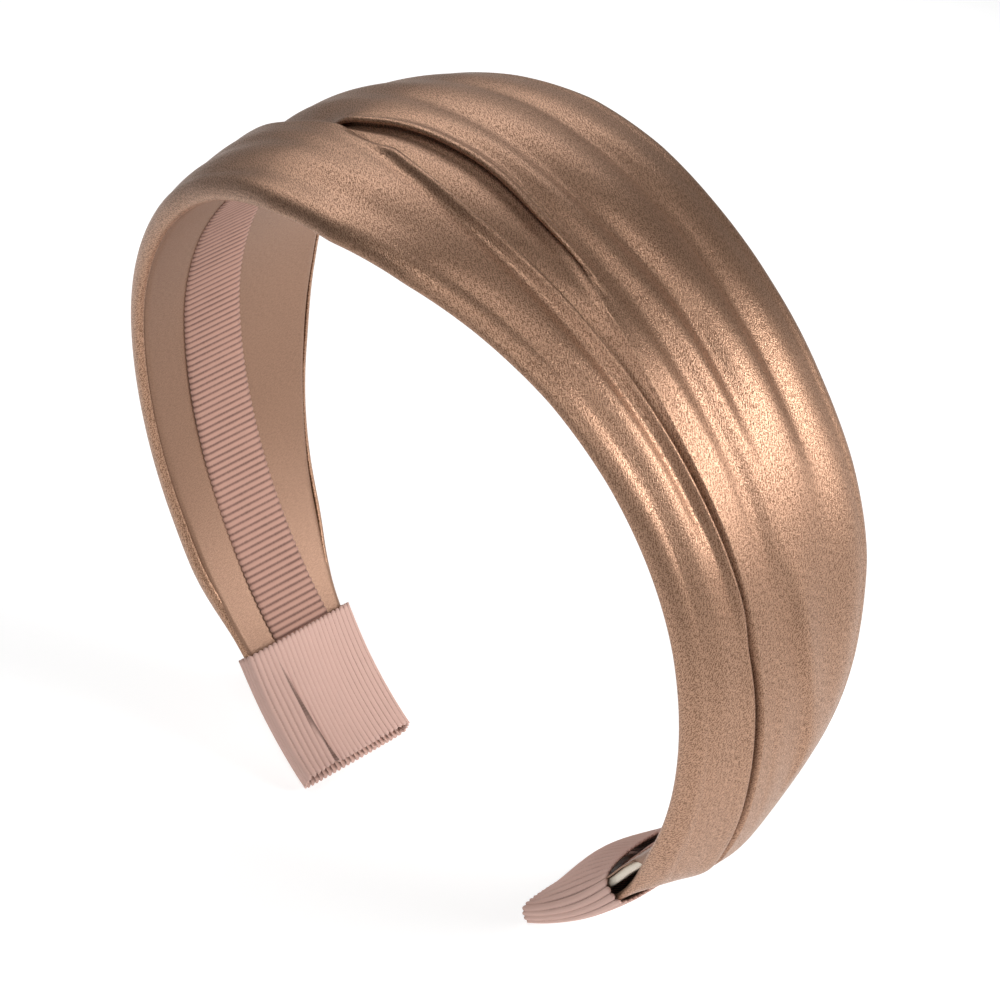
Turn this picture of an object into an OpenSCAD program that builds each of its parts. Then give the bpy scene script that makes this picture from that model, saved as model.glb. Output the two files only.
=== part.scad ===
// Twist-front satin headband: a sprung plastic arch, padded and covered in cloth.
// X runs across the head, Y from front (-) to back (+), Z up. The band stands on its two tips.
// Every layer follows the same arch. A place on it is given by
//   s  the distance along the arch from the middle of the crown,
//   y  the place across the band, and
//   d  the height out from the face that touches the head.

/* [Arch] */
// Radius of the inner face over the crown
crown_r = 73; // [70:1:76]
// Radius of the inner face round each shoulder
shoulder_r = 58; // [55:1:61]
// Radius of the inner face down each side
side_r = 82; // [78:1:86]
// Radius of the inner face where each tip curls in
tip_r = 62; // [58:1:66]
// Slope, in degrees below level, where the crown arc ends
crown_turn = 31; // [28:1:34]
// Slope where the shoulder arc ends
shoulder_turn = 85; // [82:1:88]
// Slope where the side arc ends
side_turn = 126; // [122:1:130]
// Slope at the very tip
tip_turn = 154; // [150:1:158]

/* [Widths] */
// Width of the covered band at the middle of the crown
crown_w = 63; // [59:1:67]
// Width a quarter of the way down each half
shoulder_w = 49; // [46:1:52]
// Width half of the way down each half
side_w = 43; // [40:1:46]
// Width just above the cuff
ankle_w = 27.5; // [26:0.5:29]
// Width at the tip
tip_w = 24; // [23:0.5:25]
// How far the band's middle line swings back half of the way down
sweep_back = 3.2; // [0:0.1:5]
// How far the band's middle line swings forward at the tip
sweep_front = 2.3; // [0:0.1:4]

/* [Layers] */
// Thickness of the sprung plastic band inside
core_t = 1.5; // [1.2:0.1:2]
// Thickness of the satin lining with its glue
lining_t = 0.35; // [0.3:0.05:0.5]
// Thickness of the grosgrain ribbon
ribbon_t = 0.5; // [0.4:0.05:0.6]
// Width of the grosgrain ribbon down the middle of the inside
ribbon_w = 13; // [10:0.5:16]
// Thickness of the outer satin with its backing
panel_t = 0.8; // [0.6:0.1:1]
// Height of the outer satin over the band's two edges
edge_rise = 3.4; // [3.4:0.1:4]
// How much higher the outer satin stands along the middle
crown_rise = 4.1; // [3.5:0.1:5]
// Glue line between one layer and the next
glue = 0.05; // [0.05:0.01:0.1]

/* [Cuffs and panels] */
// Length of the ribbon cuff on each tip
cuff_len = 25; // [20:1:30]
// How far the cuff's mouth stands open over the lining
mouth_rise = 3; // [1:0.5:4]
// How far one satin panel tucks under the other
tuck_w = 5; // [3:0.5:7]
// Where the foam pad ends, along the arch from the crown
foam_reach = 138; // [120:1:145]

/* [Flexing] */
// Gap left at the crown between the two halves of each layer
crown_gap = 0.3; // [0.2:0.05:0.5]

/* [Hidden] */

// The four arcs of one half, each with its radius, first slope and last slope
arcs = [
    [crown_r, 0, crown_turn],
    [shoulder_r, crown_turn, shoulder_turn],
    [side_r, shoulder_turn, side_turn],
    [tip_r, side_turn, tip_turn]
];
function arc_length(i) = arcs[i][0] * (arcs[i][2] - arcs[i][1]) * PI / 180;
function arc_step(i) = arcs[i][0] * [sin(arcs[i][2]) - sin(arcs[i][1]), cos(arcs[i][2]) - cos(arcs[i][1])];
function start_s(i) = i == 0 ? 0 : start_s(i - 1) + arc_length(i - 1);
function start_xz(i) = i == 0 ? [0, 0] : start_xz(i - 1) + arc_step(i - 1);
starts = [for (i = [0 : 4]) start_s(i)];
centres = [for (i = [0 : 3]) start_xz(i) - arcs[i][0] * [sin(arcs[i][1]), cos(arcs[i][1])]];
half_len = starts[4];
mouth_s = half_len - cuff_len;

// Heights of the layers out from the face that touches the head
core_in = lining_t + glue;
core_out = core_in + core_t;
lining_out = core_out + lining_t;
cuff_in = -(2 * ribbon_t + 2 * glue);
cuff_out = lining_out + glue + ribbon_t;
// Outside of the cuff: close round the tip, standing open at its mouth
function cuff_top(s) = cuff_out + mouth_rise * (half_len - s) / cuff_len;
// The lining stops this far inside the outer satin's edge
edge_inset = panel_t + 0.15;
// Crown height that puts the lowest edge of the cuffs at zero
lift = -(start_xz(4)[1] + cuff_out * cos(tip_turn));

// Distance along the arch between stations of a swept piece
station = 3.8;
// Length over which the outer satin sinks towards the cuff, and the share of its rise left there
sink_len = 14;
sink_share = 0.3;
// Smoothing length of the width and sweep tables
soften = 16;
width_table = [
    [0, crown_w], [0.25 * half_len, shoulder_w], [0.5 * half_len, side_w],
    [0.8 * half_len, ankle_w], [half_len, tip_w]
];
sweep_table = [[0, 0], [0.5 * half_len, sweep_back], [half_len, -sweep_front]];
// Angle by which the arcs of the core run into each other, so that they join into one solid
arc_lap = 0.05;
// Line where the two satin panels meet on each half: distance along the arch, share of the half width
meet_right = [[0, -0.33], [30, -0.47], [60, -0.52], [95, -0.43], [125, -0.3], [160, -0.2]];
meet_left = [[0, -0.33], [25, -0.27], [45, -0.18], [70, 0.06], [90, 0.28], [115, 0.42], [160, 0.35]];
// Middle of the ribbon inside: distance along the arch, place across the band
ribbon_line = [[0, -3.4], [70, -3.1], [115, -0.5], [155, 0.7]];

// Steps across a panel between its edges
panel_steps = 6;
// A tucked edge lies flat over this share of the tuck, and is back at full height at this share
tuck_flat = 1.1;
tuck_up = 1.7;
// How much the inside of a panel's wall leans in from its lip
lean = 0.1;
// Least thickness of the foam pad
foam_least = 0.5;
// Share of the band's width that the foam pad covers
pad_share = 0.7;

function share(x) = max(0, min(1, x));
function ease(x) = let (c = share(x)) c * c * (3 - 2 * c);
function softened(table, s) =
    (lookup(abs(s - soften), table) + 2 * lookup(s, table) + lookup(s + soften, table)) / 4;
function half_w(s) = softened(width_table, s) / 2;
function middle(s) = softened(sweep_table, s);

function arc_at(s) = s < starts[1] ? 0 : s < starts[2] ? 1 : s < starts[3] ? 2 : 3;
function slope(s) = let (i = arc_at(s)) arcs[i][1] + (s - starts[i]) / arcs[i][0] * 180 / PI;
function place(s, y, d) =
    let (i = arc_at(s), a = slope(s), c = centres[i], r = arcs[i][0] + d)
    [c[0] + r * sin(a), y, c[1] + r * cos(a) + lift];
function stations(s0, s1) = let (n = ceil((s1 - s0) / station)) [for (i = [0 : n]) s0 + (s1 - s0) * i / n];

// Outside of the outer satin at a share v of the half width
function cover(s, v) =
    let (left = sink_share + (1 - sink_share) * ease((mouth_s - s) / sink_len))
    edge_rise + crown_rise * (1 - v * v) * left;

// A solid swept along the right half through cross-sections of [y, d] points, listed anticlockwise
module sweep(sections, at) {
    n = len(sections[0]);
    m = len(at);
    points = [for (j = [0 : m - 1]) for (p = sections[j]) place(at[j], p[0], p[1])];
    sides = [
        for (j = [0 : m - 2]) for (i = [0 : n - 1])
        let (k = (i + 1) % n) [j * n + i, (j + 1) * n + i, (j + 1) * n + k, j * n + k]
    ];
    first = [for (i = [0 : n - 1]) i];
    last = [for (i = [n - 1 : -1 : 0]) (m - 1) * n + i];
    polyhedron(points = points, faces = concat([first], sides, [last]), convexity = 6);
}

// Rectangular cross-section from y0 to y1 and d0 to d1
function bar(y0, y1, d0, d1) = [[y0, d0], [y1, d0], [y1, d1], [y0, d1]];

// Flat ring-shaped stretch of the arch, in the XZ plane, lapping the next stretch by a hair
module arc_strip(i, d0, d1) {
    a = arcs[i][1] - arc_lap;
    b = arcs[i][2] + arc_lap;
    reach = 2 * (arcs[i][0] + d1);
    translate([centres[i][0], centres[i][1] + lift])
        intersection() {
            difference() {
                circle(r = arcs[i][0] + d1, $fn = 180);
                circle(r = arcs[i][0] + d0, $fn = 180);
            }
            polygon([[0, 0], reach * [sin(a), cos(a)], reach * [sin(b), cos(b)]]);
        }
}

// Outline of the core seen from above, open past its shoulder
module core_plan(at) {
    wide = crown_w;
    edge = [for (s = at) [place(s, 0, 0)[0], core_half(s), middle(s)]];
    end_x = edge[len(at) - 1][0];
    polygon(concat(
        [for (e = edge) [e[0], e[2] + e[1]]],
        [[end_x, wide], [2 * wide, wide], [2 * wide, -wide], [end_x, -wide]],
        [for (i = [len(at) - 1 : -1 : 0]) [edge[i][0], edge[i][2] - edge[i][1]]]
    ));
}

// Outline of the core seen from the side, open above its shoulder
module core_side(at) {
    wide = crown_w;
    edge = [for (s = at) [place(s, 0, 0)[2], core_half(s), middle(s)]];
    top_z = edge[0][0];
    tip = edge[len(at) - 1];
    polygon(concat(
        [[wide, 2 * lift], [wide, top_z]],
        [for (e = edge) [e[2] + e[1], e[0]]],
        [[tip[2] + tip[1], -wide], [tip[2] - tip[1], -wide]],
        [for (i = [len(at) - 1 : -1 : 0]) [edge[i][2] - edge[i][1], edge[i][0]]],
        [[-wide, top_z], [-wide, 2 * lift]]
    ));
}

function lining_half(s) = half_w(s) - edge_inset;
function core_half(s) = lining_half(s) - lining_t - glue;

// One half of the sprung plastic band: four true arcs cut to the two outlines
module core_half_band() {
    shoulder_s = starts[1] + arc_length(1) / 2;
    lap = 8;
    tip_clear = 1.2;
    intersection() {
        rotate([90, 0, 0])
            linear_extrude(height = 2 * crown_w, center = true)
                difference() {
                    union() {
                        for (i = [0 : 3]) arc_strip(i, core_in, core_out);
                    }
                    translate([-crown_w, 0]) square([crown_w + crown_gap / 2, 2 * lift]);
                    core_tip_cut(tip_clear);
                }
        linear_extrude(height = 2 * lift)
            core_plan(stations(0, shoulder_s + lap));
        rotate([90, 0, 90])
            linear_extrude(height = 2 * crown_w)
                core_side(stations(shoulder_s - lap, half_len));
    }
}

// Takes the last stretch off the tip so that the cuff reaches past the core
module core_tip_cut(back) {
    a = slope(half_len - back);
    c = centres[3];
    translate([c[0], c[1] + lift])
        polygon([[0, 0], 2 * tip_r * [sin(a), cos(a)], 2 * tip_r * [sin(tip_turn + 4), cos(tip_turn + 4)]]);
}

// One half of the foam pad: domed, and thinning out to the sides
module foam_half_pad() {
    at = stations(crown_gap / 2, foam_reach);
    under = under_drop + short_lip + 4 * glue;
    across = [1, 0.5, 0, -0.5, -1] * pad_share;
    sweep([
        for (s = at)
        let (w = half_w(s), y = middle(s), d = core_out + glue)
        concat(
            [[y - pad_share * w, d], [y + pad_share * w, d]],
            [for (v = across) [y + v * w, max(d + foam_least, cover(s, v) - under)]]
        )
    ], at);
}

// One half of the lining: across the inside of the core and up over both its edges
module lining_half_cloth() {
    at = stations(crown_gap / 2, half_len - 0.8);
    inner_at = stations(0, half_len);
    difference() {
        sweep([
            for (s = at)
            let (w = lining_half(s), y = middle(s))
            bar(y - w, y + w, 0, core_out)
        ], at);
        sweep([
            for (s = inner_at)
            let (w = lining_half(s) - lining_t, y = middle(s))
            bar(y - w, y + w, lining_t, core_out + 1)
        ], inner_at);
    }
}

// One half of the ribbon glued down the middle of the lining, its end under the cuff
module centre_half_ribbon() {
    at = stations(crown_gap / 2, mouth_s + 4);
    sweep([
        for (s = at)
        let (y = softened(ribbon_line, s), w = ribbon_w / 2)
        bar(y - w, y + w, -ribbon_t - glue, -glue)
    ], at);
}

// Places across a panel: its two edges, the ends of a tucked front edge, and even steps between
function panel_shares(v0, v1, tuck, tucked) =
    let (low = v0 + (tucked ? tuck_up * tuck : 0))
    concat(
        tucked ? [v0, v0 + tuck_flat * tuck] : [],
        [for (i = [0 : panel_steps]) low + (v1 - low) * i / panel_steps]
    );

// Cross-section of a satin panel from share v0 to share v1 of the half width at s.
// A tucked front edge is lowered to lie under the other panel. Lips lip0 and lip1 turn down.
function panel_section(s, v0, v1, tucked, lip0, lip1) =
    let (
        w = half_w(s),
        y = middle(s),
        tuck = tuck_w / w,
        t = panel_t,
        vs = panel_shares(v0, v1, tuck, tucked),
        n = len(vs) - 1,
        top = [for (i = [0 : n]) cover(s, vs[i]) - (tucked && i < 2 ? under_drop : 0)],
        ys = [for (v = vs) y + v * w]
    )
    concat(
        [[ys[0], top[0] - lip0], [ys[0] + t, top[0] - lip0]],
        [for (i = [0 : n]) [i == 0 ? ys[0] + t + lean : i == n ? ys[n] - t - lean : ys[i], top[i] - t]],
        [[ys[n] - t, top[n] - lip1], [ys[n], top[n] - lip1]],
        [for (i = [n : -1 : 0]) [ys[i], top[i]]]
    );

// Depth of the lip that turns down over the band's own edge
function full_lip(s, v) = cover(s, v) - core_in;
short_lip = panel_t + 0.2;
under_drop = short_lip + 3 * glue;

// One half of the front panel, from the front edge to its edge over the back panel
module front_half_panel(meet) {
    at = stations(crown_gap / 2, mouth_s - crown_gap);
    sweep([
        for (s = at)
        panel_section(s, -1, softened(meet, s), false, full_lip(s, -1), short_lip)
    ], at);
}

// One half of the back panel, from its edge under the front panel to the back edge
module back_half_panel(meet) {
    at = stations(crown_gap / 2, mouth_s - crown_gap);
    sweep([
        for (s = at)
        let (v0 = softened(meet, s) - tuck_w / half_w(s))
        panel_section(s, v0, 1, true, short_lip, full_lip(s, 1))
    ], at);
}

// Ribbon wrapped round one tip: a flat sleeve with the core and lining inside it
module cuff_sleeve() {
    at = stations(mouth_s, half_len);
    inner_at = stations(mouth_s - 1, half_len + 1);
    difference() {
        sweep([
            for (s = at)
            let (w = half_w(s), y = middle(s))
            bar(y - w, y + w, cuff_in, cuff_top(s))
        ], at);
        sweep([
            for (s = inner_at)
            let (w = half_w(s) - ribbon_t, y = middle(s))
            bar(y - w, y + w, cuff_in + ribbon_t, cuff_top(s) - ribbon_t)
        ], inner_at);
    }
}

module on_left() { mirror([1, 0, 0]) children(); }

module band_core_left() { color("ivory") on_left() core_half_band(); }
module band_core_right() { color("ivory") core_half_band(); }
module foam_pad_left() { color("antiquewhite") on_left() foam_half_pad(); }
module foam_pad_right() { color("antiquewhite") foam_half_pad(); }
module lining_left() { color([0.55, 0.43, 0.36]) on_left() lining_half_cloth(); }
module lining_right() { color([0.55, 0.43, 0.36]) lining_half_cloth(); }
module centre_ribbon_left() { color([0.76, 0.62, 0.56]) on_left() centre_half_ribbon(); }
module centre_ribbon_right() { color([0.76, 0.62, 0.56]) centre_half_ribbon(); }
module front_panel_left() { color([0.66, 0.5, 0.41]) on_left() front_half_panel(meet_left); }
module front_panel_right() { color([0.66, 0.5, 0.41]) front_half_panel(meet_right); }
module back_panel_left() { color([0.6, 0.46, 0.38]) on_left() back_half_panel(meet_left); }
module back_panel_right() { color([0.6, 0.46, 0.38]) back_half_panel(meet_right); }
module cuff_left() { color([0.78, 0.64, 0.58]) on_left() cuff_sleeve(); }
module cuff_right() { color([0.78, 0.64, 0.58]) cuff_sleeve(); }

band_core_left();
band_core_right();
foam_pad_left();
foam_pad_right();
lining_left();
lining_right();
centre_ribbon_left();
centre_ribbon_right();
front_panel_left();
front_panel_right();
back_panel_left();
back_panel_right();
cuff_left();
cuff_right();
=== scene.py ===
import math

import bpy
import numpy as np
from mathutils import Matrix, Vector


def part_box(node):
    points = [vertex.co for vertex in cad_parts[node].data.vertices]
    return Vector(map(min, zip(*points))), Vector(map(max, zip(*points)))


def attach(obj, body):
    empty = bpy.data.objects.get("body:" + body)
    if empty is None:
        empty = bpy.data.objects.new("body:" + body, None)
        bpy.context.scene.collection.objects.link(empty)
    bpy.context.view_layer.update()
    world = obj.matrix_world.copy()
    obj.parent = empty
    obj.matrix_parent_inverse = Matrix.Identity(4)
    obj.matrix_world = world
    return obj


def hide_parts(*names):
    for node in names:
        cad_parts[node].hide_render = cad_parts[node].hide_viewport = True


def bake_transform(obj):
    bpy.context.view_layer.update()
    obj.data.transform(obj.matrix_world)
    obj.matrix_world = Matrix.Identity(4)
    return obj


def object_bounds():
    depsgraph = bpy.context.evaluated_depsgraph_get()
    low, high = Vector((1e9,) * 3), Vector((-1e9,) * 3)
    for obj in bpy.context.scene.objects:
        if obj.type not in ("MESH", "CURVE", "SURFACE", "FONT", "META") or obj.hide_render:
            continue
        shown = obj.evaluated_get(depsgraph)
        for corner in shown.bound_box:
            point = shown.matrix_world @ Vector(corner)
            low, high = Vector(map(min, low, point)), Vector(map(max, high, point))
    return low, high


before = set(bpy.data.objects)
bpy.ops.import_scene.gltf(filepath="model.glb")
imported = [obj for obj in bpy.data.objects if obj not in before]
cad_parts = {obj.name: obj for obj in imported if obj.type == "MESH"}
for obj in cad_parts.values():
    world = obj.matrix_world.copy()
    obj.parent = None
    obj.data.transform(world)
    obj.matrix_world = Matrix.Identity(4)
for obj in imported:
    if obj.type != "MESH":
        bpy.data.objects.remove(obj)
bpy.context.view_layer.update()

# ---------------------------------------------------------------- Spring band
# The stiffener is one strip of cream ABS, 1.5 mm thick, moulded to the arch that it
# holds at rest. Every other layer is glued to it, so its line places them all. It
# shows only in the mouths of the cuffs, where the drape stands a little away from them.
MM = 0.001
ARCS = ((73, 0, 31), (58, 31, 85), (82, 85, 126), (62, 126, 154))
RADIUS, ARC_FROM, ARC_TO = (np.array(column, float) for column in zip(*ARCS))
ARC_FROM, ARC_TO = np.radians(ARC_FROM), np.radians(ARC_TO)
ARC_START = np.concatenate([[0], np.cumsum(RADIUS * (ARC_TO - ARC_FROM))])
HALF_LENGTH = ARC_START[-1]
CUFF_LENGTH = 25.0
MOUTH = HALF_LENGTH - CUFF_LENGTH
CORE_IN, CORE_OUT = 0.4, 1.9
PANEL_END = 160.0
CROWN_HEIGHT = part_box("band_core_right")[1].z / MM - CORE_OUT
step_x = np.cumsum(RADIUS * (np.sin(ARC_TO) - np.sin(ARC_FROM)))
step_z = np.cumsum(RADIUS * (np.cos(ARC_TO) - np.cos(ARC_FROM)))
CENTRE_X = np.concatenate([[0], step_x[:-1]]) - RADIUS * np.sin(ARC_FROM)
CENTRE_Z = np.concatenate([[0], step_z[:-1]]) - RADIUS * np.cos(ARC_FROM) + CROWN_HEIGHT
SATIN_WIDTH = (
    (0, 63), (0.25 * HALF_LENGTH, 49), (0.5 * HALF_LENGTH, 43),
    (0.8 * HALF_LENGTH, 27.5), (HALF_LENGTH, 24),
)
SWEEP = ((0, 0), (0.5 * HALF_LENGTH, 3.2), (HALF_LENGTH, -2.3))


def place(s, y, d):
    """Points s along the arch from the crown, y across and d out from the head, all in mm."""
    s, y, d = np.broadcast_arrays(np.asarray(s, float), y, d)
    far = np.abs(s)
    arc = np.clip(np.searchsorted(ARC_START, far, side="right") - 1, 0, 3)
    turn = ARC_FROM[arc] + (far - ARC_START[arc]) / RADIUS[arc]
    x = CENTRE_X[arc] + (RADIUS[arc] + d) * np.sin(turn)
    z = CENTRE_Z[arc] + (RADIUS[arc] + d) * np.cos(turn)
    return np.stack([np.sign(s) * x, y, z], -1) * MM


def softened(table, s, reach=16.0):
    """A table of (distance, value), the same on both halves, with its corners rounded off."""
    at, value = zip(*table)
    far = np.abs(s)
    before, here, after = (np.interp(x, at, value) for x in (np.abs(far - reach), far, far + reach))
    return (before + 2 * here + after) / 4


def ramp(x):
    """0 up to 1 with soft ends."""
    x = np.clip(x, 0, 1)
    return x * x * (3 - 2 * x)


def half_width(s):
    return softened(SATIN_WIDTH, s) / 2


def middle(s):
    return softened(SWEEP, s)


def stations(first, last, spacing):
    """Distances along the arch, as a column."""
    return np.linspace(first, last, int(round((last - first) / spacing)) + 1)[:, None]


def skin(name, s, y, d, ring=False, inward=False, capped=False):
    """A smooth mesh through rows of points across the band.

    Its UV is in mm: along the band, and across the cloth."""
    points = place(s, y, d)
    rows, columns = points.shape[:2]
    at = np.arange(rows * columns).reshape(rows, columns)
    across = np.cumsum(np.linalg.norm(np.diff(points, axis=1), axis=2), axis=1) / MM
    across = np.concatenate([np.zeros((rows, 1)), across], 1)
    if ring:
        at = np.concatenate([at, at[:, :1]], 1)
        gap = np.linalg.norm(points[:, -1] - points[:, 0], axis=1)[:, None] / MM
        across = np.concatenate([across, across[:, -1:] + gap], 1)
    across = across - across.mean(1, keepdims=True)
    if np.shape(s)[1] == 1:
        along = np.broadcast_to(s, across.shape)
    else:
        along = np.pad(s, ((0, 0), (0, int(ring))), mode="edge")
    corners = ((0, 0), (1, 0), (1, 1), (0, 1))
    if inward:
        corners = corners[::-1]
    high, wide = at.shape[0] - 1, at.shape[1] - 1

    def cut(grid):
        return np.stack([grid[i:i + high, j:j + wide] for i, j in corners], -1).reshape(-1, 4)

    faces = cut(at).tolist()
    uv = np.stack([cut(along), cut(across)], -1).reshape(-1, 2)
    if capped:
        ends = [list(range(columns)), list(range((rows - 1) * columns, rows * columns))]
        ends[1 if inward else 0].reverse()
        faces += ends
        uv = np.concatenate([uv] + [np.stack([d[i], y[i]], -1) for i in (0, -1)])
    mesh = bpy.data.meshes.new(name)
    mesh.from_pydata(points.reshape(-1, 3).tolist(), [], faces)
    mesh.uv_layers.new(name="cloth_mm").uv.foreach_set("vector", uv.astype(np.float32).ravel())
    mesh.shade_smooth()
    made = bpy.data.objects.new(name, mesh)
    bpy.context.scene.collection.objects.link(made)
    return made


def across_crown(piece):
    """Bakes the placing of a piece that crosses the crown into its mesh. The tips curl in under the crown."""
    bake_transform(piece)


def linear(hex_colour):
    """sRGB hex to linear RGBA."""
    parts = [int(hex_colour[i:i + 2], 16) / 255 for i in (0, 2, 4)]
    return (*(c / 12.92 if c <= 0.04045 else ((c + 0.055) / 1.055) ** 2.4 for c in parts), 1.0)


def add(tree, kind, values=None, links=None, **settings):
    """Adds one node with its settings, its socket values and its links."""
    made = tree.nodes.new(kind)
    for name, value in settings.items():
        setattr(made, name, value)
    for socket, value in (values or {}).items():
        made.inputs[socket].default_value = value
    for socket, source in (links or {}).items():
        tree.links.new(source, made.inputs[socket])
    return made


def new_material(name):
    material = bpy.data.materials.new(name)
    material.use_nodes = True
    tree = material.node_tree
    tree.nodes.clear()
    return material, tree


def bowed(s):
    """How far the right tip's layers bow in towards the head where they enter the cuff."""
    depth = 2.2
    return -depth * ramp((s - 138) / 16) * (1 - ramp((s - PANEL_END) / 22))


def core_edge(s):
    """Half width of the moulded band, which narrows to go into the cuffs."""
    return half_width(s) - 1.35 - 0.9 * np.clip((np.abs(s) - 143) / 14, 0, 1)


# Moulded ABS: cream, half matt from a spark-eroded mould of about 0.4 mm grain.
plastic, tree = new_material("moulded_abs_cream")
spot = add(tree, "ShaderNodeTexCoord")
grain = add(tree, "ShaderNodeTexNoise", {"Scale": 2500.0, "Detail": 2.0},
            {"Vector": spot.outputs["Object"]})
tone = add(tree, "ShaderNodeTexNoise", {"Scale": 120.0}, {"Vector": spot.outputs["Object"]})
cream = add(tree, "ShaderNodeValToRGB", links={"Fac": tone.outputs["Fac"]})
cream.color_ramp.elements[0].color = linear("f2e9d9")
cream.color_ramp.elements[1].color = linear("e2d5c0")
bump = add(tree, "ShaderNodeBump", {"Strength": 0.3, "Distance": 0.00003},
           {"Height": grain.outputs["Fac"]})
shader = add(tree, "ShaderNodeBsdfPrincipled", {"Roughness": 0.45, "IOR": 1.54},
             {"Base Color": cream.outputs["Color"], "Normal": bump.outputs["Normal"]})
add(tree, "ShaderNodeOutputMaterial", links={"Surface": shader.outputs["BSDF"]})

s = stations(-(HALF_LENGTH - 1.2), HALF_LENGTH - 1.2, 1.5)
turn = np.linspace(0, 2 * math.pi, 32, endpoint=False)[None]
edge_round = 0.6
thick = (CORE_OUT - CORE_IN) / 2
y = middle(s) - np.sign(np.cos(turn)) * (core_edge(s) - edge_round) - edge_round * np.cos(turn)
d = (CORE_IN + CORE_OUT) / 2 - thick * np.sign(np.sin(turn)) * np.abs(np.sin(turn)) ** 0.7
spring_band = skin("spring_band", s, y, d + bowed(s), ring=True, capped=True)
spring_band.data.materials.append(plastic)
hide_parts("band_core_left", "band_core_right")
across_crown(spring_band)

# ------------------------------------------------------------------- Foam pad
# A pad of white polyurethane foam, cut thinner towards its edges, is glued along the
# outside of the band. It domes the satin over it and can't be seen itself.
PAD_REACH = 138.0
PAD_SHARE = 0.68
EDGE_RISE, CROWN_RISE = 3.4, 4.1
FOLD_DEPTH = 3.6
THINNEST_PAD = 0.5


def dome(s, v):
    """How far out the smooth drape lies, at a share v of the half width."""
    left = 0.15 + 0.85 * ramp((MOUTH - np.abs(s)) / 16)
    drawn_in = 0.36 * ramp((np.abs(s) - 145) / 13)
    return EDGE_RISE * (1 - drawn_in) + CROWN_RISE * (1 - v * v) * left


foam, tree = new_material("polyurethane_foam_white")
spot = add(tree, "ShaderNodeTexCoord")
cells = add(tree, "ShaderNodeTexVoronoi", {"Scale": 1600.0}, {"Vector": spot.outputs["Object"]})
tone = add(tree, "ShaderNodeValToRGB", links={"Fac": cells.outputs["Distance"]})
tone.color_ramp.elements[0].color = linear("e9e3d8")
tone.color_ramp.elements[1].color = linear("f7f3ea")
bump = add(tree, "ShaderNodeBump", {"Strength": 0.6, "Distance": 0.0002},
           {"Height": cells.outputs["Distance"]})
shader = add(tree, "ShaderNodeBsdfPrincipled", {"Roughness": 0.9},
             {"Base Color": tone.outputs["Color"], "Normal": bump.outputs["Normal"]})
add(tree, "ShaderNodeOutputMaterial", links={"Surface": shader.outputs["BSDF"]})

s = stations(-PAD_REACH, PAD_REACH, 2.0)
turn = np.linspace(0, 2 * math.pi, 48, endpoint=False)[None]
v = -PAD_SHARE * np.cos(turn) * np.abs(np.cos(turn)) ** -0.3
under = CORE_OUT + 0.1
room = np.maximum(dome(s, v) - FOLD_DEPTH - under, THINNEST_PAD)
room = room * ramp((PAD_REACH - np.abs(s)) / 12 + 0.25)
d = under + room * np.clip(-np.sin(turn), 0, 1) ** 0.6
foam_pad = skin("foam_pad", s, middle(s) + v * half_width(s), d, ring=True, capped=True)
foam_pad.data.materials.append(foam)
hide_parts("foam_pad_left", "foam_pad_right")
across_crown(foam_pad)

# --------------------------------------------------------------------- Lining
# The inside is faced with the same polyester satin, glued flat to the band and rolled
# up round both of its edges. It has no folds, so it looks browner and calmer.
LINING_THICKNESS = 0.3


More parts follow.
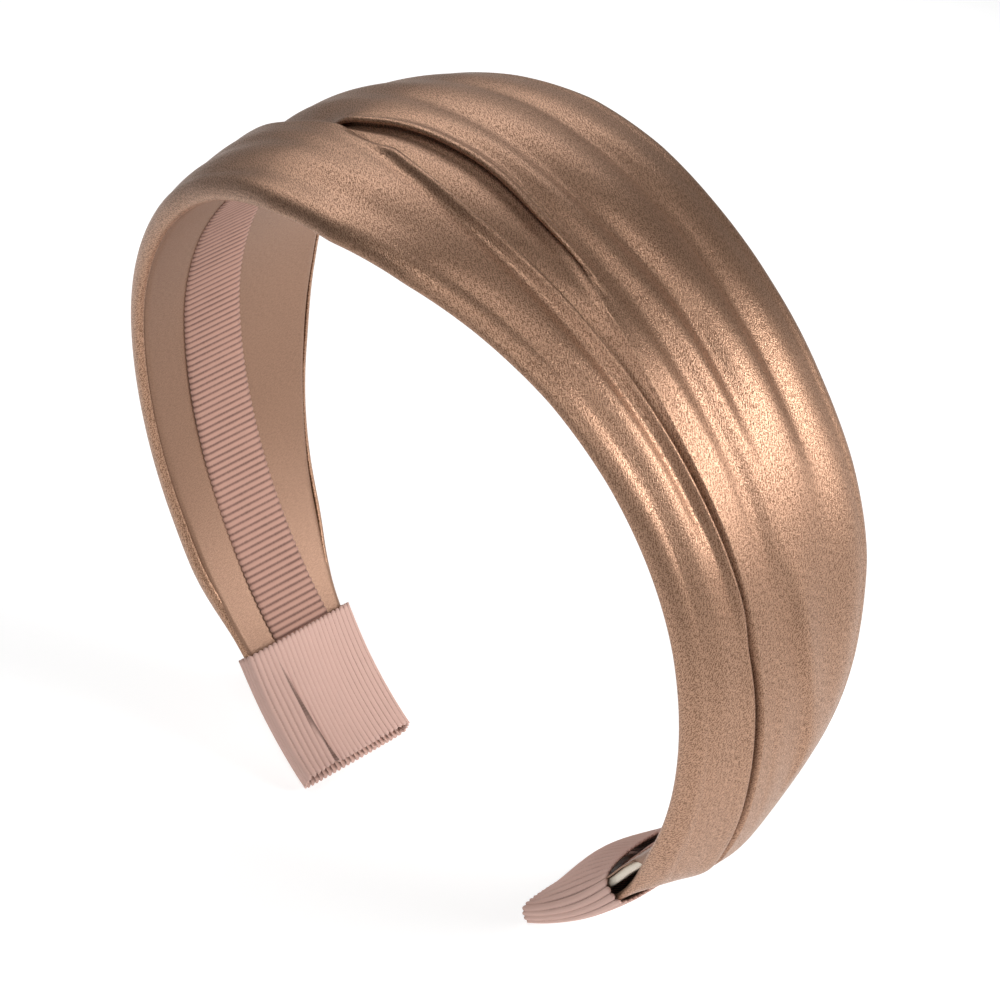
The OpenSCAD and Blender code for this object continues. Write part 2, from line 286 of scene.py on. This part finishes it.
def satin(name, face, shade, metal, rough, slant, contrast=1.0):
    """Polyester satin: long floats lying one way, so its gloss is streaked along them.

    A real float is about 0.1 mm wide. It is drawn 0.2 mm wide, to show at this size."""
    made, tree = new_material(name)
    place_on_cloth = add(tree, "ShaderNodeUVMap", uv_map="cloth_mm")
    turned = add(tree, "ShaderNodeMapping",
                 {"Rotation": (0, 0, math.radians(slant)), "Scale": (0.9, 0.18, 1)},
                 {"Vector": place_on_cloth.outputs["UV"]}, vector_type="TEXTURE")
    floats = add(tree, "ShaderNodeTexNoise", {"Scale": 1.0, "Detail": 3.0, "Roughness": 0.6},
                 {"Vector": turned.outputs["Vector"]}, noise_dimensions="2D")
    crossed = add(tree, "ShaderNodeMapping",
                  {"Rotation": (0, 0, math.radians(slant)), "Scale": (0.26, 0.2, 1)},
                  {"Vector": place_on_cloth.outputs["UV"]}, vector_type="TEXTURE")
    ties = add(tree, "ShaderNodeTexNoise", {"Scale": 1.0, "Detail": 2.0},
               {"Vector": crossed.outputs["Vector"]}, noise_dimensions="2D")
    weave = add(tree, "ShaderNodeMath", links={0: floats.outputs["Fac"], 1: ties.outputs["Fac"]},
                operation="ADD")
    slub = add(tree, "ShaderNodeTexNoise", {"Scale": 0.12, "Detail": 4.0},
               {"Vector": place_on_cloth.outputs["UV"]}, noise_dimensions="2D")
    spread = 0.5 * contrast
    speck = add(tree, "ShaderNodeMapRange",
                {"From Min": 0.8, "From Max": 1.2, "To Min": 0.5 - spread, "To Max": 0.5 + spread},
                {"Value": weave.outputs["Value"]})
    mixed = add(tree, "ShaderNodeMath", {1: 0.2}, {0: slub.outputs["Fac"], 2: speck.outputs["Result"]},
                operation="MULTIPLY_ADD")
    colour = add(tree, "ShaderNodeValToRGB", links={"Fac": mixed.outputs["Value"]})
    colour.color_ramp.elements[0].position = 0.15
    colour.color_ramp.elements[0].color = linear(shade)
    colour.color_ramp.elements[1].position = 0.85
    colour.color_ramp.elements[1].color = linear(face)
    gloss = add(tree, "ShaderNodeMapRange", {"To Min": rough + 0.08, "To Max": rough - 0.06},
                {"Value": speck.outputs["Result"]})
    bump = add(tree, "ShaderNodeBump", {"Strength": 0.5 * contrast, "Distance": 0.00008},
               {"Height": weave.outputs["Value"]})
    lie = add(tree, "ShaderNodeTangent", direction_type="UV_MAP", uv_map="cloth_mm")
    shader = add(tree, "ShaderNodeBsdfPrincipled",
                 {"Metallic": metal, "Anisotropic": 0.4, "Anisotropic Rotation": 0.25,
                  "Sheen Weight": 0.08, "Sheen Roughness": 0.4,
                  "Sheen Tint": linear("f3d9c6"), "IOR": 1.5},
                 {"Base Color": colour.outputs["Color"], "Roughness": gloss.outputs["Result"],
                  "Normal": bump.outputs["Normal"], "Tangent": lie.outputs["Tangent"]})
    add(tree, "ShaderNodeOutputMaterial", links={"Surface": shader.outputs["BSDF"]})
    return made


def as_cloth(piece, thickness, material):
    """Gives a sheet its thickness, inwards from the face that was drawn."""
    solid = piece.modifiers.new("thickness", "SOLIDIFY")
    solid.thickness = thickness * MM
    solid.offset = -1
    seen = piece.evaluated_get(bpy.context.evaluated_depsgraph_get())
    mesh = bpy.data.meshes.new_from_object(seen)
    piece.modifiers.clear()
    piece.data = mesh
    mesh.materials.clear()
    mesh.materials.append(material)
    mesh.shade_smooth()


def line(points, s):
    """A smooth curve through (distance, value) points."""
    at, value = np.array(points, float).T
    lean = np.gradient(value, at)
    i = np.clip(np.searchsorted(at, s) - 1, 0, len(at) - 2)
    run = at[i + 1] - at[i]
    t = np.clip((s - at[i]) / run, 0, 1)
    return ((2 * t**3 - 3 * t**2 + 1) * value[i] + (t**3 - 2 * t**2 + t) * run * lean[i]
            + (3 * t**2 - 2 * t**3) * value[i + 1] + (t**3 - t**2) * run * lean[i + 1])


lining_satin = satin("polyester_satin_lining", "99765f", "856450", 0.4, 0.45, 80, 0.6)
s = stations(-(HALF_LENGTH - 0.8), HALF_LENGTH - 0.8, 1.0)
edge = core_edge(s) + 0.35
roll = 1.15 - 0.2 * ramp((np.abs(s) - 140) / 12)
quarter = np.linspace(0, 1, 9)[None]
face = np.linspace(-1, 1, 60)[None]
# The front roll stops short on the right half, where the cream band shows before the cuff.
bare = ramp((s - 145) / 2.5)
circle = math.pi * (1 - quarter)
front_y = -edge + roll - roll * np.sin(circle) * (1 - bare) + 1.2 * bare * (quarter - 1)
front_d = (roll - roll * np.cos(circle)) * (1 - 0.98 * bare)
circle = math.pi * quarter
back_y = edge - roll + roll * np.sin(circle)
back_d = roll - roll * np.cos(circle) + 0 * s
ripple = 0.12 * np.sin(s / 9.0 + 1.3 * np.sin(s / 23.0)) * (1 - face**2)
face_y = face * (edge - roll)
y = middle(s) + np.concatenate([front_y, face_y[:, 1:-1], back_y], 1)
d = np.concatenate([front_d, ripple[:, 1:-1], back_d], 1)
lining = skin("lining", s, y, d + bowed(s), inward=True)
as_cloth(lining, LINING_THICKNESS, lining_satin)
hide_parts("lining_left", "lining_right")
across_crown(lining)

# -------------------------------------------------------------- Centre ribbon
# A half inch polyester grosgrain ribbon is glued down the middle of the lining. Its
# ribs run across it, 1.25 mm apart, and its woven selvages are scalloped by them.
RIBBON_LINE = ((0, -3.4), (70, -3.1), (115, -0.5), (155, 0.7))
RIBBON_WIDTH = 13.0
RIB = 1.25


def grosgrain(name, face, groove_shade, along_u):
    """Grosgrain: fine matt warp threads, about 0.2 mm apart, lying over thick cords.

    The warp is drawn 0.3 mm apart, to show at this size. The ribs are in the mesh; painted shade darkens
    the colour down between them."""
    made, tree = new_material(name)
    place_on_cloth = add(tree, "ShaderNodeUVMap", uv_map="cloth_mm")
    stretch = (1 / 1.2, 1 / 0.3, 1) if along_u else (1 / 0.3, 1 / 1.2, 1)
    warp_at = add(tree, "ShaderNodeMapping", {"Scale": stretch}, {"Vector": place_on_cloth.outputs["UV"]})
    warp = add(tree, "ShaderNodeTexNoise", {"Scale": 1.0, "Detail": 3.0},
               {"Vector": warp_at.outputs["Vector"]}, noise_dimensions="2D")
    fade = add(tree, "ShaderNodeTexNoise", {"Scale": 0.15, "Detail": 3.0},
               {"Vector": place_on_cloth.outputs["UV"]}, noise_dimensions="2D")
    ribs = add(tree, "ShaderNodeAttribute", attribute_name="painted_rib_shade")
    worn = add(tree, "ShaderNodeMath", {1: 0.3}, {0: warp.outputs["Fac"]}, operation="MULTIPLY")
    tone = add(tree, "ShaderNodeMath", links={0: worn.outputs["Value"], 1: ribs.outputs["Fac"]},
               operation="ADD")
    soft = add(tree, "ShaderNodeMath", {1: 0.25}, {0: fade.outputs["Fac"]}, operation="MULTIPLY")
    both = add(tree, "ShaderNodeMath", links={0: tone.outputs["Value"], 1: soft.outputs["Value"]},
               operation="ADD")
    # Painted shade: the colour goes darker down between the ribs, and along the cuff's lapped pleat, where
    # shade would fall.
    colour = add(tree, "ShaderNodeValToRGB", links={"Fac": both.outputs["Value"]})
    colour.color_ramp.elements[0].position = 0.25
    colour.color_ramp.elements[0].color = linear(groove_shade)
    colour.color_ramp.elements[1].position = 1.0
    colour.color_ramp.elements[1].color = linear(face)
    bump = add(tree, "ShaderNodeBump", {"Strength": 0.5, "Distance": 0.00008},
               {"Height": warp.outputs["Fac"]})
    shader = add(tree, "ShaderNodeBsdfPrincipled",
                 {"Roughness": 0.72, "Sheen Weight": 0.25, "Sheen Roughness": 0.45,
                  "Sheen Tint": linear("f6dfd6"), "IOR": 1.45},
                 {"Base Color": colour.outputs["Color"], "Normal": bump.outputs["Normal"]})
    add(tree, "ShaderNodeOutputMaterial", links={"Surface": shader.outputs["BSDF"]})
    return made


def rib_profile(x):
    """Round cords with grooves between them, for x in ribs."""
    return np.abs(np.sin(math.pi * x)) ** 1.3


def mark_ribs(piece, height):
    """Keeps a painted shade for the colour at each point: 0, darkest, down between the ribs, to 1 on their
    tops.
    """
    layer = piece.data.attributes.new("painted_rib_shade", "FLOAT", "POINT")
    layer.data.foreach_set("value", np.ascontiguousarray(height, np.float32).ravel())


ribbon_cloth = grosgrain("polyester_grosgrain_ribbon", "b98f7f", "5f4036", True)
s = stations(-(MOUTH + 4), MOUTH + 4, RIB / 6)
rib = rib_profile(s / RIB)
share = np.linspace(-1, 1, 15)[None]
half = RIBBON_WIDTH / 2 - 0.22 + 0.22 * rib
edge_drop = 1 - 0.55 * np.clip(np.abs(share) - 0.9, 0, 1) / 0.1
d = -0.12 - (0.2 + 0.22 * rib) * edge_drop
y = softened(RIBBON_LINE, s) + share * half
centre_ribbon = skin("centre_ribbon", s, y, d + bowed(s), inward=True)
mark_ribs(centre_ribbon, np.broadcast_to(rib, (len(s), share.size)))
as_cloth(centre_ribbon, 0.3, ribbon_cloth)
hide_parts("centre_ribbon_left", "centre_ribbon_right")
across_crown(centre_ribbon)

# ----------------------------------------------------------------- Back panel
# The wider of the two satin panels covers the back of the band and rolls round its
# back edge. Near the crown it is folded in a soft pleat, with a recess before the
# front panel. Its front edge lies under the front panel all the way.
CLOTH = 0.35
TUCK = 5.0
PANEL_STEP = 0.8
FOLD_LINE = (
    (-160, 0.39), (-115, 0.455), (-90, 0.305), (-70, 0.09), (-45, -0.145), (-34, -0.225), (-27, -0.235),
    (-20, -0.215), (-12, -0.15), (0, -0.12), (10, -0.145), (20, -0.21),
    (30, -0.295), (42, -0.40), (60, -0.48), (80, -0.445), (100, -0.37), (120, -0.275),
    (135, -0.18), (160, -0.07),
)
FRONT_EDGE = (
    (-160, 0.35), (-115, 0.42), (-90, 0.27), (-70, 0.05), (-45, -0.19), (-34, -0.265), (-26, -0.27),
    (-20, -0.27), (-14, -0.295), (-6, -0.325), (0, -0.37), (10, -0.44), (20, -0.48),
    (30, -0.505), (45, -0.54), (60, -0.54), (80, -0.5), (100, -0.43), (120, -0.34),
    (135, -0.25), (158, -0.15), (160, -0.145),
)
FULLNESS = 1.15
# Each soft fold: points (distance, share of the half width), height, width to the front
# and to the back in mm, and the length over which each end fades.
BACK_FOLDS = (
    (((-120, 0.75), (-30, 0.74), (0, 0.72), (40, 0.70), (95, 0.66)), 0.95, 4.2, 4.4, 45),
    (((-110, 0.4), (-30, 0.40), (0, 0.37), (30, 0.32), (60, 0.30), (95, 0.30)), 1.15, 4.2, 4.2, 45),
    (((-100, 0.05), (-30, 0.1), (0, 0.04), (50, -0.05), (90, -0.05)), 0.60, 2.8, 2.6, 40),
    (((-30, 0.57), (0, 0.57), (30, 0.54), (48, 0.49), (68, 0.46), (80, 0.5)), -0.75, 1.5, 2.2, 30),
    (((-30, 0.25), (0, 0.18), (30, 0.10), (45, 0.11), (60, 0.06), (74, 0.04)), -0.75, 1.5, 1.9, 26),
    (((-15, 0.02), (10, -0.02), (25, -0.12), (50, -0.16), (75, -0.18), (110, -0.12)), -0.55, 2.2, 2.4, 30),
    (((20, -0.2), (40, -0.27), (60, -0.30), (80, -0.27)), 0.40, 1.8, 2.2, 20),
    (((-30, -0.18), (-20, -0.12), (-12, -0.05), (0, -0.02), (12, -0.045), (28, -0.16)),
     -0.55, 1.5, 1.5, 10),
    (((-27, -0.22), (-20, -0.195), (-12, -0.125), (0, -0.095), (10, -0.12), (20, -0.185), (30, -0.265),
      (42, -0.36), (55, -0.42)), 0.75, 0.8, 1.2, 8),
    (((80, 0.02), (88, 0.04), (95, 0.08), (100, 0.14), (105, 0.2), (112, 0.3), (122, 0.4), (134, 0.32)),
     0.75, 1.3, 3.4, 16),
    (((82, -0.04), (92, 0.0), (100, 0.06), (108, 0.15)), -0.5, 2.0, 1.6, 10),
    (((95, -0.25), (110, -0.12), (125, 0.0), (150, 0.15)), 0.35, 2.5, 3.5, 20),
    (((60, 0.78), (85, 0.78), (110, 0.74), (140, 0.6)), 1.5, 6.0, 8.0, 30),
    (((-140, 0.6), (-110, 0.74), (-85, 0.78), (-60, 0.78)), 0.8, 6.0, 8.0, 30),
)


def relief(folds, s, y):
    """Height of the soft folds at s along and y across, in mm.

    The broad ones are calmer from the crown leftwards."""
    total = np.zeros(np.broadcast(s, y).shape)
    for path, height, to_front, to_back, fade in folds:
        centre = middle(s) + line(path, s) * half_width(s)
        off = y - centre
        width = np.where(off < 0, to_front, to_back)
        there = ramp((s - path[0][0]) / fade) * ramp((path[-1][0] - s) / fade)
        if to_front > 1.2:
            there = there * (1 - 0.55 * ramp((30 - s) / 34))
        total = total + FULLNESS * height * there * np.exp(-((off / width) ** 2))
    return total


def fold_y(s):
    return middle(s) + line(FOLD_LINE, s) * half_width(s)


def front_edge_y(s):
    return middle(s) + line(FRONT_EDGE, s) * half_width(s)


def back_height(s, y):
    """Left of the crown the panel is drawn down where it goes in under the front panel."""
    drawn = 1.9 * ramp((-20 - s) / 12) * (1 - 0.4 * ramp((-40 - s) / 30))
    behind = np.clip(y - front_edge_y(s), 0, None)
    shape = dome(s, (y - middle(s)) / half_width(s)) + relief(BACK_FOLDS, s, y)
    return shape - drawn * np.exp(-((behind / 6.5) ** 2))


def ellipse(first, last, count):
    """Cosines and sines from one angle to another, in degrees."""
    angle = np.radians(np.linspace(first, last, count))[None]
    return np.cos(angle), np.sin(angle)


def panel_edge(s, side):
    """Where the drape's outer edge lies. It is drawn in to meet the cuffs."""
    drawn_in = 1.5 * ramp((np.abs(s) - 138) / 18)
    return middle(s) + side * (half_width(s) - drawn_in)


def roll_over_edge(s, start_y, start_d, low, side, count=12):
    """Rolls a panel from start_y round the band's edge and a little way under it."""
    outer = panel_edge(s, side)
    wall = low + 1.0
    c, q = ellipse(90, 0, count)
    y = start_y + (outer - start_y) * c
    d = wall + (start_d - wall) * q
    c, q = ellipse(0, -90, 7)
    under_y = outer - side * (1.1 - 1.1 * c)
    under_d = wall + 1.0 * q
    return np.concatenate([y[:, 1:], under_y[:, 1:]], 1), np.concatenate([d[:, 1:], under_d[:, 1:]], 1)


panel_satin = satin("polyester_satin_panel", "c39a7f", "84624c", 0.78, 0.38, -31, 1.3)
s = stations(-PANEL_END, PANEL_END, PANEL_STEP)
# The pleat starts 31 mm left of the crown and has closed 44 mm right of it.
pleat = ramp((s + 31) / 10) * (1 - ramp((s - 18) / 26))
# The panel's section, from front to back: a hidden layer runs on below the pleat, turns
# back along its under layer, goes round its nose, over the crest and round the back edge.
low = 0.2 + 0.25 * np.sin(s / 7.0) * ramp((np.abs(s) - 90) / 20)
top_y, deep, nose_r = fold_y(s), 2.2 * pleat, 0.55 * pleat
spread = 3.0 * (1 - pleat)
nose_height = back_height(s, top_y + nose_r + spread)
c, q = ellipse(270, 90, 13)
t = np.linspace(0, 1, 13)[None]
nose = (top_y + nose_r + nose_r * c + spread * (0.5 + 0.5 * t), nose_height - nose_r + nose_r * q)
t = np.linspace(0, 1, 8)[None]
under_layer = (top_y + deep + (nose_r - deep) * t + spread * (0.25 + 0.25 * t),
               nose_height - 2 * nose_r + 0 * t)
turn_r = 0.3 * pleat
c, q = ellipse(-90, 90, 8)
deep_turn = (top_y + deep + turn_r * c + spread * 0.25 * t,
             nose_height - 2 * nose_r - turn_r + turn_r * q)
t = np.linspace(0, 1, 34)[None]
start = front_edge_y(s) - TUCK
hidden_y = start + (top_y + deep - start) * t
share = (hidden_y - front_edge_y(s)) / np.maximum(top_y - front_edge_y(s), 1.0)
share = np.clip(share, -0.6, 1)
dip = line(((-160, 0.6), (-60, 0.5), (-30, 0.5), (-12, 1.3), (0, 1.5), (40, 1.4), (60, 0.9), (85, 1.2),
            (110, 2.4), (140, 2.3), (160, 1.6)), s)
at_edge = 1.7 * pleat + dip * (1 - pleat)
recess = at_edge + (1.75 * pleat - at_edge) * ramp(share)
recess = recess - 0.8 * pleat * np.sin(math.pi * np.clip(share, 0, 1))
recess = recess + np.maximum(2.3 - at_edge, 0.3) * ramp(-share / 0.5)
over_pad = dome(s, (hidden_y - middle(s)) / half_width(s)) - FOLD_DEPTH + 0.5
above_pad = np.maximum(over_pad, CORE_OUT + CLOTH + 0.1)
hidden = (hidden_y, np.maximum(back_height(s, hidden_y) - recess, above_pad))
corner = panel_edge(s, 1) - 3.2
t = np.linspace(0, 1, 110)[None]
crest_y = top_y + nose_r + spread + (corner - top_y - nose_r - spread) * t
crest = (crest_y, back_height(s, crest_y))
edge_roll = roll_over_edge(s, corner, back_height(s, corner), low, 1)
y = np.concatenate([hidden[0][:, :-1], deep_turn[0], under_layer[0][:, 1:], nose[0][:, 1:],
                    crest[0][:, 1:], edge_roll[0]], 1)
d = np.concatenate([hidden[1][:, :-1], deep_turn[1], under_layer[1][:, 1:], nose[1][:, 1:],
                    crest[1][:, 1:], edge_roll[1]], 1)


def relaxed(grid, passes):
    """Evens a grid a little both ways, as cloth evens out a sharp bend."""
    for _ in range(passes):
        grid[1:-1] = (grid[:-2] + 2 * grid[1:-1] + grid[2:]) / 4
        grid[:, 1:-1] = (grid[:, :-2] + 2 * grid[:, 1:-1] + grid[:, 2:]) / 4
    return grid


back_panel = skin("back_panel", s, relaxed(y, 2), relaxed(d, 2))
as_cloth(back_panel, CLOTH, panel_satin)
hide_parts("back_panel_left", "back_panel_right")
across_crown(back_panel)

# ---------------------------------------------------------------- Front panel
# The narrower satin panel covers the front of the band and rolls round its front edge.
# Its back edge is turned under and lies over the back panel. Left of the crown it
# gathers into a few pleats and then spreads to cover most of that half.
FRONT_FOLDS = (
    (((-14, -0.34), (-6, -0.365), (0, -0.40), (10, -0.465), (20, -0.505), (45, -0.56), (80, -0.525),
      (95, -0.48)), 0.95, 0.7, 1.0, 10),
    (((-14, -0.40), (0, -0.46), (10, -0.53), (20, -0.57), (45, -0.63), (80, -0.60)), -0.5, 1.3, 1.3, 12),
    (((-70, -1.02), (-50, -0.99), (-41, -0.95), (-35, -0.9), (-26, -0.83), (-5, -0.78), (20, -0.8)),
     -0.75, 2.2, 2.4, 24),
    (((-60, -0.5), (-40, -0.45), (-25, -0.42), (0, -0.45)), 0.35, 2.4, 2.4, 16),
    (((-40, -0.36), (-28, -0.37), (-14, -0.40), (8, -0.45)), -0.35, 1.6, 1.8, 12),
    (((-70, -0.84), (-45, -0.74), (-30, -0.66), (-10, -0.63), (15, -0.65)), 0.6, 3.0, 3.2, 24),
    (((-60, -0.68), (-42, -0.58), (-30, -0.53), (-12, -0.52)), -0.3, 2.0, 2.2, 14),
    (((0, -0.90), (35, -0.88), (75, -0.86)), -0.5, 1.8, 2.0, 25),
    (((45, -0.97), (60, -0.97), (80, -0.96)), 0.5, 1.5, 1.5, 14),
    (((30, -0.72), (60, -0.73), (90, -0.72), (120, -0.7)), 0.45, 2.4, 2.6, 25),
    (((90, -0.45), (110, -0.4), (130, -0.32), (158, -0.25)), 0.4, 2.2, 1.5, 14),
    (((-21, -0.28), (-13, -0.312), (-5, -0.352)), -0.6, 0.7, 0.6, 5),
    (((-130, 0.2), (-90, 0.0), (-60, -0.15), (-35, -0.3)), 0.5, 2.6, 2.2, 20),
    (((-140, -0.2), (-100, -0.35), (-70, -0.42), (-45, -0.45)), -0.5, 2.2, 2.6, 24),
    (((-150, -0.5), (-110, -0.6), (-80, -0.7), (-55, -0.75)), 0.4, 2.4, 2.8, 24),
)
s = stations(-PANEL_END, PANEL_END, PANEL_STEP)
open_end = ramp((s - 143) / 14)


def front_height(s, y):
    """Left of the crown the panel stands a little higher, over the back panel."""
    raised = 0.5 * ramp((-10 - s) / 14) * (1 - ramp((-60 - s) / 40))
    return dome(s, (y - middle(s)) / half_width(s)) + relief(FRONT_FOLDS, s, y) + raised


# Its section, from front to back: round the front edge, over the crest, round the fold
# of its back edge and 3 mm back under it.
low = 0.2 + 0.9 * open_end
corner = panel_edge(s, -1) + 3.0
roll_r = 0.5
t = np.linspace(0, 1, 90)[None]
crest_y = corner + (front_edge_y(s) - roll_r - corner) * t
crest_d = front_height(s, crest_y)
edge_y, edge_d = roll_over_edge(s, corner, crest_d[:, :1], low, -1)
c, q = ellipse(90, -90, 9)
turn_y = crest_y[:, -1:] + roll_r * c
turn_d = crest_d[:, -1:] - roll_r + roll_r * q
t = np.linspace(0, 1, 9)[None]
hem_y = crest_y[:, -1:] - 3.0 * t
hem_d = front_height(s, hem_y) - 2 * roll_r
y = np.concatenate([edge_y[:, ::-1], crest_y, turn_y[:, 1:], hem_y[:, 1:]], 1)
d = np.concatenate([edge_d[:, ::-1], crest_d, turn_d[:, 1:], hem_d[:, 1:]], 1)
front_panel = skin("front_panel", s, relaxed(y, 2), relaxed(d, 2))
as_cloth(front_panel, CLOTH, panel_satin)
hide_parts("front_panel_left", "front_panel_right")
across_crown(front_panel)

# ---------------------------------------------------------------------- Cuffs
# Each tip is wrapped in one turn of inch wide grosgrain, its ribs running along the
# tip and its selvages at the mouth and the end. The right one stands open at its mouth,
# where the layers of the band go in, and bulges towards the head.
CUFF_RIBS = 52
CUFF_HALF_WIDTH = 11.8
CUFF_IN = -1.1
CUFF_OUT = 2.75
RIB_HEIGHT = 0.3
LAP_AT = 7.2


def cuff(name, side, gape, bulge, sideways):
    """A cuff whose inner face stands off by gape at its mouth and by bulge further in.

    Its end lies sideways of its mouth. All three are in mm."""
    samples = CUFF_RIBS * 8
    along = np.linspace(0, 1, 42)[:, None]
    half = CUFF_HALF_WIDTH + 0.1 * along
    inner = CUFF_IN + 0.5 * along - gape * (1 - along) ** 1.6
    outer = CUFF_OUT + 0.35 * (1 - along) ** 4 - 0.25 * along
    tall, mid_d = (outer - inner) / 2, (outer + inner) / 2
    # Even steps round a long ring with nearly straight sides, so that the ribs are even.
    angle = np.linspace(-math.pi, math.pi, 4001)
    square = 0.28 if side < 0 else 0.4
    ring_y = np.sign(np.cos(angle)) * np.abs(np.cos(angle)) ** square * 11.9
    ring_d = np.sign(np.sin(angle)) * np.abs(np.sin(angle)) ** square * 2.2
    length = np.concatenate([[0], np.cumsum(np.hypot(np.diff(ring_y), np.diff(ring_d)))])
    even = np.linspace(0, length[-1], samples, endpoint=False)
    unit_y = np.interp(even, length, ring_y / ring_y.max())[None]
    unit_d = np.interp(even, length, ring_d / ring_d.max())[None]
    number = np.linspace(0, CUFF_RIBS, samples, endpoint=False)[None]
    rib = rib_profile(number)
    proud = RIB_HEIGHT * rib
    wander = 0.45 * np.sin(2.6 * along + 0.16 * number) * (1 - unit_y**2)
    y = unit_y * (half + proud) + wander + sideways * along
    d = mid_d + unit_d * (tall + proud)
    swell = np.sin(math.pi * (0.12 + 0.88 * along)) * (1 - 0.3 * unit_y)
    d = d - bulge * (1 - unit_y**2) * swell * (unit_d < 0)
    # The ribbon's end laps over its start in a pleat down the front of the inner face.
    past = unit_y * half + LAP_AT - 1.6 * along + 0.4 * np.sin(3 * along)
    lapped = np.where(past < 0, np.exp(-((past / 3.0) ** 2)), np.exp(-((past / 0.35) ** 2)))
    d = d - 1.1 * lapped * ramp(along * 1.6) * (unit_d < 0) * (side < 0)
    selvage = np.clip(1 - (1 - along) / 0.06, 0, 1) - np.clip(1 - along / 0.06, 0, 1)
    far = MOUTH + along * CUFF_LENGTH + 0.8 * (rib - 0.5) * selvage
    made = skin(name, side * far, middle(far) + y, d, ring=True, inward=side < 0)
    # Painted shade along the lapped pleat: the colour is darkened there, as if in the pleat's shadow.
    lap_shade = np.exp(-((past / 0.45) ** 2)) * (unit_d < 0) * (side < 0) * ramp(along * 2)
    mark_ribs(made, rib * (1 - 0.9 * lap_shade))
    as_cloth(made, 0.4, cuff_cloth)
    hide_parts(name.replace("ribbon_", ""))
    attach(made, "right_half" if side > 0 else "left_half")


cuff_cloth = grosgrain("polyester_grosgrain_cuff", "cfab9f", "54392f", False)
cuff("ribbon_cuff_right", 1, 1.1, 4.0, 0)
cuff("ribbon_cuff_left", -1, 0.2, 0, -2.0)

# ---------------------------------------------------------------------- Floor
# A wide sheet of matt paper with the tips standing on it. It glows with painted light, white round
# the band though it is no lamp, and is greyer further off, which leaves the dark bands in the satin's
# gloss.
paper, tree = new_material("paper_painted_with_glow")
spot = add(tree, "ShaderNodeTexCoord")
away = add(tree, "ShaderNodeVectorMath", links={0: spot.outputs["Object"]}, operation="LENGTH")
# Painted light: the paper emits light, strongest round the band, fading to a dim grey further off.
glow = add(tree, "ShaderNodeMapRange", {"From Min": 0.2, "From Max": 0.36, "To Min": 0.7, "To Max": 0.04},
           {"Value": away.outputs["Value"]}, interpolation_type="SMOOTHSTEP")
shader = add(tree, "ShaderNodeBsdfPrincipled",
             {"Base Color": linear("bcbcbc"), "Roughness": 0.9, "Emission Color": linear("ffffff"),
              "Specular IOR Level": 0.1}, {"Emission Strength": glow.outputs["Result"]})
add(tree, "ShaderNodeOutputMaterial", links={"Surface": shader.outputs["BSDF"]})
FLOOR = 6.0
mesh = bpy.data.meshes.new("floor")
corners = [(-FLOOR, -FLOOR, 0), (FLOOR, -FLOOR, 0), (FLOOR, FLOOR, 0), (-FLOOR, FLOOR, 0)]
mesh.from_pydata(corners, [], [(0, 1, 2, 3)])
floor = bpy.data.objects.new("floor", mesh)
floor.location = (-0.10, 0.06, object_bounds()[0][2] - 0.0001)
floor.data.materials.append(paper)
bpy.context.scene.collection.objects.link(floor)

# --------------------------------------------------------------------- Lights
# One large softbox at the right and behind gives the broad band of gloss down the near
# side. A small one over the top picks out the edges of the folds. Wide ones at the left
# and in front, and a dim room, fill the rest.
TARGET = Vector((0.0034, 0.0037, 0.0689))


def softbox(name, direction, distance, width, height, watts):
    """A rectangle of light that faces the object from a direction."""
    lamp = bpy.data.lights.new(name, "AREA")
    lamp.shape = "RECTANGLE"
    lamp.size, lamp.size_y = width, height
    lamp.energy = watts
    made = bpy.data.objects.new(name, lamp)
    away = Vector(direction).normalized()
    made.location = TARGET + away * distance
    made.rotation_euler = away.to_track_quat("Z", "Y").to_euler()
    bpy.context.scene.collection.objects.link(made)


softbox("key_box", (0.80, 0.40, 0.42), 1.2, 0.6, 0.75, 14)
softbox("left_box", (-0.66, 0.30, 0.60), 1.5, 1.6, 0.7, 8.5)
softbox("top_box", (0.08, -0.38, 0.92), 1.3, 0.36, 0.36, 3.2)
softbox("front_box", (0.30, -0.85, 0.42), 1.5, 0.8, 0.6, 5.5)
world = bpy.data.worlds.new("dim_room")
world.use_nodes = True
world.node_tree.nodes["Background"].inputs["Color"].default_value = (0.95, 0.97, 1.0, 1)
world.node_tree.nodes["Background"].inputs["Strength"].default_value = 0.05
bpy.context.scene.world = world
bpy.context.scene.view_settings.view_transform = "Standard"

# --------------------------------------------------------------------- Camera
# A long lens looks down on the near end from in front and to the right.
AZIMUTH, ELEVATION, ROLL = (math.radians(a) for a in (46.64, 33.95, -0.79))
DISTANCE = 0.7498
ahead = Vector((-math.sin(AZIMUTH) * math.cos(ELEVATION), math.cos(AZIMUTH) * math.cos(ELEVATION),
                -math.sin(ELEVATION)))
right = Vector((math.cos(AZIMUTH), math.sin(AZIMUTH), 0))
up = right.cross(ahead)
right, up = (math.cos(ROLL) * right + math.sin(ROLL) * up, math.cos(ROLL) * up - math.sin(ROLL) * right)
lens = bpy.data.cameras.new("camera")
lens.sensor_width = 36
lens.lens = 157.4
camera = bpy.data.objects.new("camera", lens)
spot = TARGET - ahead * DISTANCE
camera.matrix_world = Matrix.Translation(spot) @ Matrix((right, up, -ahead)).transposed().to_4x4()
bpy.context.scene.collection.objects.link(camera)
bpy.context.scene.camera = camera
